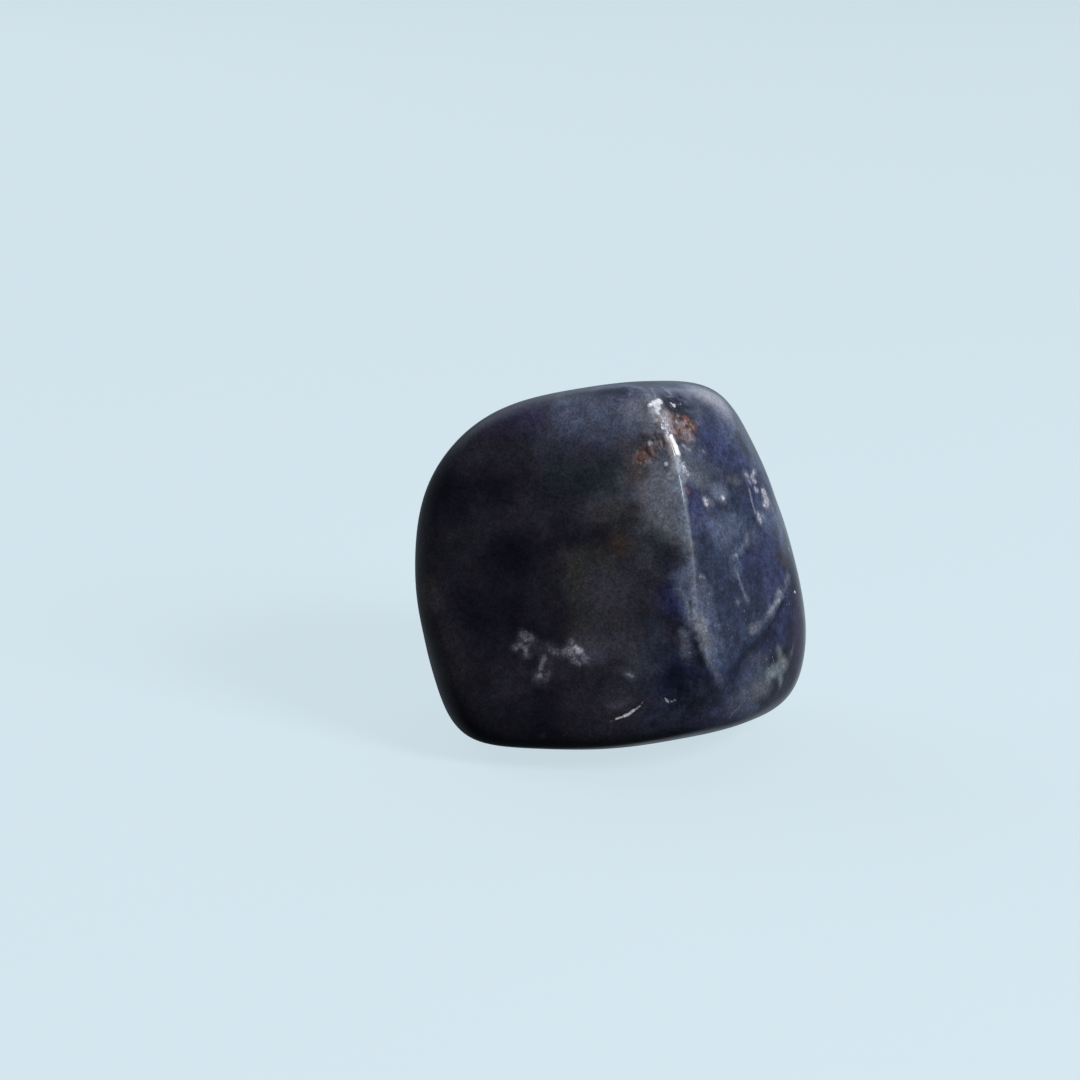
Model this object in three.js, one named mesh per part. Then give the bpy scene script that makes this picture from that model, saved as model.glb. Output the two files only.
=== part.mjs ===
// A tumbled pebble of sodalite: one solid stone, worn round, that rests on a small flat spot.
// Millimetres, +Z up. The broad face looks towards -Y, and the ridge beside it runs from the crown down to its right.
//
// The stone is what is left of a rough lump once every side is worn to a gently bowed facet. A ray from the heart of
// the stone crosses each facet at some distance, and the nearest facet is the skin, with the edges between facets
// rounded. Two flanks meet at the one edge that stayed crisp, the ridge.

import * as THREE from "three";
import { mergeVertices } from "three/addons/utils/BufferGeometryUtils.js";

// Each facet: turn is the compass angle of its outward normal (0 faces -Y, 90 faces +X, 180 faces +Y), tilt is how far
// the normal leans up, both in degrees, and reach is the distance from the heart of the stone to the facet.
const LEFT_FLANK = [{ name: "broad face", turn: -14, tilt: 15, reach: 10.7 }];
const RIGHT_FLANK = [
  { name: "right facet", turn: 52, tilt: 14, reach: 12.0 },
  { name: "upper right facet", turn: 54, tilt: 32, reach: 13.9 },
  { name: "top right facet", turn: 62, tilt: 50, reach: 15.8 },
];
const RESTING_SIDE = { name: "resting side", turn: 0, tilt: -90, reach: 11.9 };
const OTHER_SIDES = [
  RESTING_SIDE,
  { name: "right end", turn: 94, tilt: -11, reach: 15.7 },
  { name: "upper right end", turn: 96, tilt: 19, reach: 12.8 },
  { name: "upper right corner", turn: 111, tilt: 36, reach: 15.4 },
  { name: "lower right corner", turn: 78, tilt: -43, reach: 16.9 },
  { name: "crown", turn: 180, tilt: 71, reach: 13.2 },
  { name: "left of the crown", turn: -136, tilt: 70, reach: 13.0 },
  { name: "left shoulder", turn: -110, tilt: 38, reach: 13.9 },
  { name: "upper left end", turn: -98, tilt: 15, reach: 14.4 },
  { name: "left end", turn: -95, tilt: -7, reach: 13.7 },
  { name: "left foot", turn: -80, tilt: -19, reach: 15.4 },
  { name: "lower left corner", turn: -77, tilt: -44, reach: 17.3 },
  { name: "right foot", turn: 40, tilt: -70, reach: 13.2 },
  { name: "front foot", turn: 0, tilt: -65, reach: 14.6 },
  { name: "back", turn: 175, tilt: -6, reach: 10.0 },
  { name: "back left", turn: -131, tilt: 4, reach: 12.6 },
  { name: "back right", turn: 130, tilt: -14, reach: 13.0 },
];

const FACET_BOW = 150; // radius that each worn facet is bowed to
const EDGE_CRISPNESS = 14; // how tightly the worn edges turn: a higher number is a sharper edge
const RIDGE_CRISPNESS = 110; // the same along the upper ridge
const REST_WEAR = 0.12; // depth worn off the resting side, which leaves the flat spot

// Heights on a unit sphere round the heart: the ridge is crisp above the first and worn away below the second.
const RIDGE_CRISP_ABOVE = 0.3;
const RIDGE_WORN_BELOW = -0.3;

// Slow swells of the polished skin: each is a wave of the given height and length that runs towards turn and tilt.
const SWELLS = [
  { height: 0.05, length: 9.5, turn: 104, tilt: 34, phase: 0.6 },
  { height: 0.04, length: 7.0, turn: -155, tilt: 36, phase: 2.1 },
  { height: 0.03, length: 5.2, turn: 153, tilt: -48, phase: 4.4 },
];

// Hollows whose bottom the tumbling never reached: where they lie, how wide and how deep.
const HOLLOWS = [
  { name: "rusty pit right of the ridge", turn: 34, tilt: 54, radius: 1.0, depth: 0.3 },
  { name: "rusty pit left of the ridge", turn: 15, tilt: 48, radius: 1.1, depth: 0.2 },
  { name: "pit by the crown", turn: 40, tilt: 61, radius: 0.7, depth: 0.2 },
  { name: "dip in the back", turn: 163, tilt: 22, radius: 3.2, depth: 0.3 },
];

const GRID = 28; // cells along each edge of the cube that the skin is gridded on
const CORNERS_PER_CELL = 6; // each cell of the grid is two triangles
const RIDGE_GATHER = 0.5; // share by which the grid lines close up at the ridge
const FRONT_GATHER = { turn: 0, tilt: 25, share: 0.35 }; // and towards the side of the stone that it is on

const radians = THREE.MathUtils.degToRad;

function directionOf({ turn, tilt }) {
  const across = Math.cos(radians(tilt));
  return new THREE.Vector3(
    Math.sin(radians(turn)) * across,
    -Math.cos(radians(turn)) * across,
    Math.sin(radians(tilt)),
  );
}

const withDirections = (features) =>
  features.map((feature) => ({ ...feature, direction: directionOf(feature) }));
const leftFlank = withDirections(LEFT_FLANK);
const rightFlank = withDirections(RIGHT_FLANK);
const otherSides = withDirections(OTHER_SIDES);
const swells = withDirections(SWELLS);
const hollows = withDirections(HOLLOWS);

// Distance from the heart to a bowed facet along a ray, which is a unit direction.
function distanceToFacet(ray, { direction, reach }) {
  const facing = ray.dot(direction);
  const slant = Math.max(1 - facing * facing, 1e-9);
  return ((Math.sqrt(facing * facing + (2 * reach * slant) / FACET_BOW) - facing) * FACET_BOW) / slant;
}

// The nearest of several distances, with the change from one to the next rounded off.
function nearest(distances, crispness) {
  const closest = Math.min(...distances);
  const sum = distances.reduce((total, distance) => total + (closest / distance) ** crispness, 0);
  return closest * sum ** (-1 / crispness);
}

function distanceToFlank(ray, flank) {
  const distances = flank.map((facet) => distanceToFacet(ray, facet));
  return nearest(distances, EDGE_CRISPNESS);
}

function swellHeight(ray, size) {
  return swells.reduce((total, { direction, height, length, phase }) => {
    const run = size * ray.dot(direction);
    return total + height * Math.sin((2 * Math.PI * run) / length + phase);
  }, 0);
}

function hollowDepth(ray, size) {
  return hollows.reduce((total, { direction, radius, depth }) => {
    const away = (size * ray.distanceTo(direction)) / radius;
    return total + depth * Math.exp(-(away ** 4));
  }, 0);
}

// Distance from the heart to the stone's skin along a ray.
function distanceToSkin(ray) {
  const crisp = THREE.MathUtils.smoothstep(ray.z, RIDGE_WORN_BELOW, RIDGE_CRISP_ABOVE);
  const ridgeCrispness = THREE.MathUtils.lerp(EDGE_CRISPNESS, RIDGE_CRISPNESS, crisp);
  const front = nearest([distanceToFlank(ray, leftFlank), distanceToFlank(ray, rightFlank)], ridgeCrispness);
  const sides = otherSides.map((facet) => distanceToFacet(ray, facet));
  const worn = nearest([front, ...sides], EDGE_CRISPNESS);
  return worn + swellHeight(ray, worn) - hollowDepth(ray, worn);
}

// Compass angle, in radians, of the ridge at a height on the unit sphere: where both flanks are equally far away.
function ridgeTurn(height) {
  const across = Math.sqrt(Math.max(1 - height * height, 0));
  let [left, right] = [0, Math.PI / 2];
  for (let step = 0; step < 24; step++) {
    const turn = (left + right) / 2;
    const ray = new THREE.Vector3(Math.sin(turn) * across, -Math.cos(turn) * across, height);
    if (distanceToFlank(ray, leftFlank) < distanceToFlank(ray, rightFlank)) left = turn;
    else right = turn;
  }
  return (left + right) / 2;
}

// Spreads the cube's grid over the sphere in nearly equal cells, then draws it towards the front.
function ontoSphere(point) {
  const spread = (coordinate) => Math.tan((coordinate * Math.PI) / 4);
  const ray = new THREE.Vector3(spread(point.x), spread(point.y), spread(point.z)).normalize();
  return ray.addScaledVector(directionOf(FRONT_GATHER), FRONT_GATHER.share).normalize();
}

// Turns a ray about Z so that the grid's middle line lies on the ridge, with its neighbours close to it.
function alignedWithRidge(ray) {
  const turn = Math.atan2(ray.x, -ray.y);
  const nearFront = ((1 + Math.cos(turn)) / 2) ** 2;
  const gathered = turn - RIDGE_GATHER * Math.sin(turn) * nearFront;
  const aligned = gathered + ridgeTurn(Math.max(ray.z, RIDGE_WORN_BELOW)) * nearFront;
  const across = Math.hypot(ray.x, ray.y);
  return new THREE.Vector3(Math.sin(aligned) * across, -Math.cos(aligned) * across, ray.z);
}

// Splits each four-sided cell of the grid along its outer diagonal, so that the skin bulges and never caves in.
function splitOutwards(skin) {
  const points = skin.getAttribute("position");
  const corner = (i) => new THREE.Vector3().fromBufferAttribute(points, i);
  const reachOf = (i, j) => corner(i).add(corner(j)).length();
  const cells = skin.getIndex().array;
  for (let i = 0; i < cells.length; i += CORNERS_PER_CELL) {
    const [a, b, d, , c] = cells.slice(i, i + CORNERS_PER_CELL);
    if (reachOf(a, c) > reachOf(b, d)) cells.set([a, b, c, a, c, d], i);
  }
}

function stoneGeometry() {
  const cube = new THREE.BoxGeometry(2, 2, 2, GRID, GRID, GRID);
  cube.deleteAttribute("normal");
  cube.deleteAttribute("uv");
  const skin = mergeVertices(cube, 1e-4);
  const points = skin.getAttribute("position");
  const flatSpot = REST_WEAR - RESTING_SIDE.reach;
  const point = new THREE.Vector3();
  for (let i = 0; i < points.count; i++) {
    point.fromBufferAttribute(points, i);
    const ray = alignedWithRidge(ontoSphere(point));
    point.copy(ray).multiplyScalar(distanceToSkin(ray));
    points.setXYZ(i, point.x, point.y, Math.max(point.z, flatSpot));
  }
  splitOutwards(skin);
  skin.computeVertexNormals();
  return skin;
}

// The origin is the middle of the stone's footprint, at the height of its flat spot.
function sodaliteStone() {
  const geometry = stoneGeometry();
  geometry.computeBoundingBox();
  const { min, max } = geometry.boundingBox;
  const polishedBlue = new THREE.MeshStandardMaterial({ color: 0x232a45, roughness: 0.3, metalness: 0 });
  const stone = new THREE.Mesh(geometry, polishedBlue);
  stone.name = "stone";
  stone.position.set(-(min.x + max.x) / 2, -(min.y + max.y) / 2, -min.z);
  return stone;
}

const pebble = new THREE.Group();
pebble.add(sodaliteStone());

export default pebble;
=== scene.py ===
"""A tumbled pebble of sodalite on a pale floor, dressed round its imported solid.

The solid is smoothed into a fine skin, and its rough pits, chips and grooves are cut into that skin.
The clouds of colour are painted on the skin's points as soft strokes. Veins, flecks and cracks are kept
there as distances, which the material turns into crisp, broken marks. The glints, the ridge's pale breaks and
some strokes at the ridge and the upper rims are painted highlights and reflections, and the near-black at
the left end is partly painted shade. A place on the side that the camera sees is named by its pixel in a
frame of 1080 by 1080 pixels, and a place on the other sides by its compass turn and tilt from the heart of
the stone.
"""

import math

import bmesh
import bpy
import numpy as np
from mathutils import Matrix, Vector, noise
from mathutils.bvhtree import BVHTree


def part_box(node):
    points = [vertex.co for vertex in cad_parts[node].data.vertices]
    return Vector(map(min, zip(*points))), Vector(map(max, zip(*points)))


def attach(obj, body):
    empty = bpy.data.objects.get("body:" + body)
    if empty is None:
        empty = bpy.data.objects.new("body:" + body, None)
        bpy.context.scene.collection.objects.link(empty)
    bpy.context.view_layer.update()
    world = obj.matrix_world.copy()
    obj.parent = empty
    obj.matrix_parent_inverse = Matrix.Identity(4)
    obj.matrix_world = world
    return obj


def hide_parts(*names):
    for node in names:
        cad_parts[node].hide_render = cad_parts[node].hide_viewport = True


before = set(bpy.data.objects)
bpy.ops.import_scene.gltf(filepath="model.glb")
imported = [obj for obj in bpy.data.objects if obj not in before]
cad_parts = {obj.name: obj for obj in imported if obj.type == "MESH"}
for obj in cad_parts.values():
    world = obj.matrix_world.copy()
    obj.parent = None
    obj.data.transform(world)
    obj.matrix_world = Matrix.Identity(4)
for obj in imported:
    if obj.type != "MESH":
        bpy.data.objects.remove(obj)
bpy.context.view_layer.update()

NOISE_SEED = 5  # unseeded, Blender's vector noise differs from run to run
noise.seed_set(NOISE_SEED)

MM = 0.001
LOW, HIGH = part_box("stone")
SIZE = HIGH - LOW
HEART_SHARES = (0.495, 0.5563, 0.45)  # where the heart of the stone lies in its box
HEART = Vector([low + share * side for low, share, side in zip(LOW, HEART_SHARES, SIZE)])

# The camera: its frame in pixels, where the heart of the stone stands in it, and how it looks down.
FRAME_SIDE = 1080
HEART_PIXEL = (610, 566)
LENS = 100.0
SENSOR = 36.0
NEAREST_SEEN = 0.01
CAMERA_DISTANCE = 0.214
CAMERA_TILT = math.radians(15)
CAMERA_RIGHT = Vector((1, 0, 0))
CAMERA_UP = Vector((0, math.sin(CAMERA_TILT), math.cos(CAMERA_TILT)))
CAMERA_BACK = Vector((0, -math.cos(CAMERA_TILT), math.sin(CAMERA_TILT)))
METRES_PER_PIXEL = CAMERA_DISTANCE * SENSOR / LENS / FRAME_SIDE
CAMERA_PLACE = (
    HEART
    + CAMERA_BACK * CAMERA_DISTANCE
    + CAMERA_RIGHT * (FRAME_SIDE / 2 - HEART_PIXEL[0]) * METRES_PER_PIXEL
    - CAMERA_UP * (FRAME_SIDE / 2 - HEART_PIXEL[1]) * METRES_PER_PIXEL
)

# Lights: compass turn and tilt from the heart of the stone; distance, width and height in metres; watts.
KEY_LIGHT = {"turn": 48, "tilt": 32, "distance": 0.5, "width": 0.16, "height": 0.16, "watts": 1.7}
BACK_LIGHT = {"turn": 152, "tilt": 17, "distance": 0.6, "width": 0.18, "height": 0.22, "watts": 0.08}
# A broad light for the left end and the back. It is left out of the reflections in the polish.
WALL_LIGHT = {"turn": -128, "tilt": 20, "distance": 0.6, "width": 0.6, "height": 0.6, "watts": 1.4}
ROOM_LIGHT = 0.03
ROOM_COLOUR = (0.72, 0.87, 1.0)
# Glows in the room: each is at its full strength within one angle of its middle, and has faded at another.
ROOM_GLOWS = [
    {"turn": -165, "tilt": 56, "full": 20, "faded": 48, "strength": 0.56},
    {"turn": 128, "tilt": 0, "full": 26, "faded": 60, "strength": 0.16},
    {"turn": 160, "tilt": 8, "full": 18, "faded": 40, "strength": 0.30},
    {"turn": -125, "tilt": 0, "full": 26, "faded": 60, "strength": 0.12},
    {"turn": 162, "tilt": -27, "full": 8, "faded": 24, "strength": 0.30},
]
PALE_BLUE = (0.645, 0.768, 0.831)
FLOOR_RADIUS = 2.0
FLOOR_GLOW = 0.88
FLOOR_MATT = (0.15, 0.17, 0.19)


def towards(turn, tilt):
    """The unit direction of a compass turn (0 is -Y, 90 is +X) and a tilt, in degrees."""
    turn, tilt = math.radians(turn), math.radians(tilt)
    return Vector((math.sin(turn) * math.cos(tilt), -math.cos(turn) * math.cos(tilt), math.sin(tilt)))


# ---------------------------------------------------------------- the fine skin

MERGE_WITHIN = 0.001 * MM
CAGE_ROUNDS = 3  # rounds of pushing the cage out until its smoothed skin meets the solid's points
CAGE_PUSH = 0.9  # share of what is missing that each round adds
SKIN_LEVELS = 2
# Places whose faces are split once more: a path in pixels and a radius in millimetres.
FINE_PLACES = [
    ([(655, 395), (668, 430), (680, 470)], 2.0),
    ([(650, 450)], 1.6),
    ([(613, 720), (628, 714), (643, 703)], 0.5),
]


def joined_into_quads(mesh):
    """A copy of a triangle mesh with its split points merged and its triangles joined in pairs."""
    skin = bmesh.new()
    skin.from_mesh(mesh)
    bmesh.ops.remove_doubles(skin, verts=skin.verts[:], dist=MERGE_WITHIN)
    bmesh.ops.join_triangles(
        skin,
        faces=skin.faces[:],
        angle_face_threshold=math.pi,
        angle_shape_threshold=math.pi,
        topology_influence=2.0,
    )
    quads = bpy.data.meshes.new("sodalite_pebble")
    skin.to_mesh(quads)
    skin.free()
    return quads


def subdivided(mesh, levels):
    """The mesh after smooth subdivision. Its own points come first and keep their order."""
    holder = bpy.data.objects.new("subdivided", mesh)
    bpy.context.scene.collection.objects.link(holder)
    modifier = holder.modifiers.new("smooth", "SUBSURF")
    modifier.levels = levels
    result = bpy.data.meshes.new_from_object(holder.evaluated_get(bpy.context.evaluated_depsgraph_get()))
    bpy.data.objects.remove(holder)
    return result


def points_of(mesh):
    points = np.empty(len(mesh.vertices) * 3, np.float32)
    mesh.vertices.foreach_get("co", points)
    return points.reshape(-1, 3).astype(float)


def move_points(mesh, points):
    mesh.vertices.foreach_set("co", points.astype(np.float32).ravel())
    mesh.update()


def normals_of(mesh):
    normals = np.empty(len(mesh.vertices) * 3, np.float32)
    mesh.vertex_normals.foreach_get("vector", normals)
    return normals.reshape(-1, 3).astype(float)


def tree_of(mesh):
    faces = [tuple(face.vertices) for face in mesh.polygons]
    return BVHTree.FromPolygons(points_of(mesh).tolist(), faces)


def smooth_skin(mesh):
    """The solid's mesh rounded into a fine skin that still passes through the solid's own points."""
    cage = joined_into_quads(mesh)
    wanted = points_of(cage)
    for _ in range(CAGE_ROUNDS):
        pulled_in = points_of(subdivided(cage, 1))[: len(wanted)]
        move_points(cage, points_of(cage) + CAGE_PUSH * (wanted - pulled_in))
    skin = subdivided(cage, SKIN_LEVELS)
    points = points_of(skin)
    points[:, 2] = np.maximum(points[:, 2], LOW.z)
    move_points(skin, points)
    return skin


def refine(mesh, tree):
    """Splits the skin's faces once more at the places with the smallest relief."""
    points = points_of(mesh)
    near = np.zeros(len(points), bool)
    for pixels, radius in FINE_PLACES:
        near |= nearest_on_path(points, laid_on_skin(tree, on_seen_side, pixels))[1] < radius * MM
    skin = bmesh.new()
    skin.from_mesh(mesh)
    edges = [edge for edge in skin.edges if near[edge.verts[0].index] and near[edge.verts[1].index]]
    bmesh.ops.subdivide_edges(skin, edges=edges, cuts=1, use_grid_fill=True)
    skin.to_mesh(mesh)
    skin.free()


# ---------------------------------------------------------------- places on the skin

STRIDE = 12  # longest step along a path before it is laid on the skin, in pixels or degrees
# How far a seed of 1 shifts each kind of noise, in wavelengths.
WANDER_SHIFT = (7.3, 3.1, 5.7)
CLOUD_SHIFT = (2.9, 8.3, 4.1)
FRACTAL_INCREMENT = 0.7  # how fast the finer octaves fade: a higher number is smoother
FRACTAL_LACUNARITY = 2.0  # how much finer each octave is than the last


def on_seen_side(tree, pixel):
    """The point of the skin that the camera sees at a pixel."""
    across = (pixel[0] - FRAME_SIDE / 2) * METRES_PER_PIXEL
    down = (pixel[1] - FRAME_SIDE / 2) * METRES_PER_PIXEL
    ray = CAMERA_RIGHT * across - CAMERA_UP * down - CAMERA_BACK * CAMERA_DISTANCE
    place = tree.ray_cast(CAMERA_PLACE, ray.normalized())[0]
    if place is None:
        raise ValueError(f"pixel {pixel} misses the stone")
    return place


def on_far_side(tree, way):
    """The point of the skin that lies towards a compass turn and a tilt from the heart."""
    return tree.ray_cast(HEART, towards(*way))[0]


def laid_on_skin(tree, locate, corners):
    """The points of the skin along a path, whose corners are pixels or compass ways."""
    places = [locate(tree, corners[0])]
    for start, end in zip(corners[:-1], corners[1:]):
        steps = math.ceil(math.dist(start, end) / STRIDE)
        for step in range(1, steps + 1):
            share = step / steps
            corner = [(1 - share) * a + share * b for a, b in zip(start, end)]
            places.append(locate(tree, corner))
    return places


def nearest_on_path(points, path):
    """The point nearest to each point on a path of straight stretches, and how far it is."""
    path = np.array(path)
    nearest = np.repeat(path[:1], len(points), axis=0)
    reach = np.linalg.norm(points - nearest, axis=1)
    for start, end in zip(path[:-1], path[1:]):
        along = end - start
        share = np.clip((points - start) @ along / max(along @ along, 1e-12), 0, 1)
        candidate = start + share[:, None] * along
        away = np.linalg.norm(points - candidate, axis=1)
        closer = away < reach
        nearest[closer] = candidate[closer]
        reach[closer] = away[closer]
    return nearest, reach


def smoothstep(low, high, values):
    share = np.clip((values - low) / (high - low), 0, 1)
    return share * share * (3 - 2 * share)


def wander_of(points, wavelength, seed):
    """A slow random vector at each point, each coordinate between about -1 and 1."""
    shift = Vector([step * seed for step in WANDER_SHIFT])
    return np.array([noise.noise_vector(Vector(point) / (wavelength * MM) + shift) for point in points])


def cloudiness_of(points, wavelength, octaves, seed):
    """A fractal noise at each point, mostly between -1 and 1."""
    shift = Vector([step * seed for step in CLOUD_SHIFT])
    places = [Vector(point) / (wavelength * MM) + shift for point in points]
    return np.array(
        [noise.fractal(place, FRACTAL_INCREMENT, FRACTAL_LACUNARITY, octaves) for place in places]
    )


# ---------------------------------------------------------------- relief

# Flats worn or chipped off the ridge: path in pixels, half width and depth in millimetres, and the turn and
# tilt that they face.
FLATS = [
    ([(672, 437), (676, 445), (679, 453)], 0.26, 0.070, 22, 26),
    ([(664, 428), (669, 436)], 0.30, 0.050, 15, 28),
    ([(653, 404), (659, 401)], 0.26, 0.100, 22, 30),
    ([(657, 406), (660, 412)], 0.20, 0.080, 25, 27),
]
# Rough hollows: path in pixels, radius and depth in millimetres, and the height of their roughness.
ROUGH_HOLLOWS = [
    ([(672, 403), (684, 403)], 0.60, -0.04, 0.16),
    ([(678, 418), (687, 421), (683, 435)], 0.75, 0.06, 0.10),
    ([(645, 456), (656, 445)], 0.85, 0.05, 0.08),
    ([(661, 416), (666, 428)], 0.40, 0.00, 0.06),
    ([(685, 466), (688, 474)], 0.25, 0.02, 0.02),
]
# Fine grooves: path in pixels, half width and depth in millimetres.
GROOVES = [
    ([(611, 721), (622, 717), (633, 711), (643, 702)], 0.10, 0.05),
    ([(462, 462), (470, 478), (480, 490), (500, 500)], 0.10, 0.02),
]
# Where a flat or a hollow begins and where it is in full, as shares of its half width or radius.
FLAT_FADE = (1.25, 0.85)
HOLLOW_FADE = (1.1, 0.5)
# How far noise moves their edges, in millimetres.
FLAT_RAGGEDNESS = 0.05
HOLLOW_RAGGEDNESS = 0.2


def cut_relief(mesh, tree):
    points = points_of(mesh)
    normals = normals_of(mesh)
    ragged = cloudiness_of(points, wavelength=0.7, octaves=3, seed=11)
    rough = cloudiness_of(points, wavelength=0.45, octaves=3, seed=12)
    for pixels, half_width, depth, turn, tilt in FLATS:
        nearest, reach = nearest_on_path(points, laid_on_skin(tree, on_seen_side, pixels))
        facing = np.array(towards(turn, tilt))
        begins, full = (share * half_width for share in FLAT_FADE)
        within = smoothstep(begins, full, reach / MM + FLAT_RAGGEDNESS * ragged)
        proud = (points - nearest) @ facing + depth * MM
        points -= (within * np.maximum(proud, 0))[:, None] * facing
    for pixels, radius, depth, roughness in ROUGH_HOLLOWS:
        reach = nearest_on_path(points, laid_on_skin(tree, on_seen_side, pixels))[1]
        begins, full = (share * radius for share in HOLLOW_FADE)
        within = smoothstep(begins, full, reach / MM + HOLLOW_RAGGEDNESS * ragged)
        points -= (within * (depth + roughness * rough) * MM)[:, None] * normals
    for pixels, half_width, depth in GROOVES:
        reach = nearest_on_path(points, laid_on_skin(tree, on_seen_side, pixels))[1] / MM
        points -= (smoothstep(half_width, 0, reach) * depth * MM)[:, None] * normals
    move_points(mesh, points)


# ---------------------------------------------------------------- markings

# The colours of the stone, as linear red, green and blue.
INK = (0.007, 0.007, 0.014)
NIGHT = (0.013, 0.012, 0.023)
NAVY = (0.013, 0.017, 0.048)
SLATE = (0.027, 0.026, 0.038)
DUSK = (0.042, 0.039, 0.058)
TEAL = (0.036, 0.044, 0.060)
GREY = (0.078, 0.077, 0.105)
SMOKE = (0.078, 0.086, 0.138)
PEWTER = (0.110, 0.132, 0.175)
SILVER = (0.155, 0.182, 0.278)
CLOUD = (0.250, 0.272, 0.330)
PALE = (0.330, 0.390, 0.520)
KHAKI = (0.058, 0.058, 0.055)
BROWN = (0.080, 0.050, 0.036)
VIOLET = (0.055, 0.046, 0.105)
STEEL = (0.038, 0.052, 0.105)
BLUE = (0.055, 0.068, 0.165)
INDIGO = (0.040, 0.046, 0.128)
HAZE = (0.122, 0.155, 0.258)
FROST = (0.190, 0.225, 0.330)
MINT = (0.215, 0.245, 0.275)
LAVENDER = (0.330, 0.345, 0.470)
IRIS = (0.130, 0.145, 0.270)
SHELL = (0.560, 0.510, 0.560)
ICE = (0.600, 0.660, 0.780)
RUSSET = (0.190, 0.090, 0.082)
HIGHLIGHT_PEARL = (0.800, 0.800, 0.840)
BEIGE = (0.185, 0.195, 0.215)
TAUPE = (0.080, 0.069, 0.078)
LILAC = (0.110, 0.104, 0.150)
ABYSS = (0.020, 0.025, 0.040)
SOOT = (0.042, 0.042, 0.046)

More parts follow.
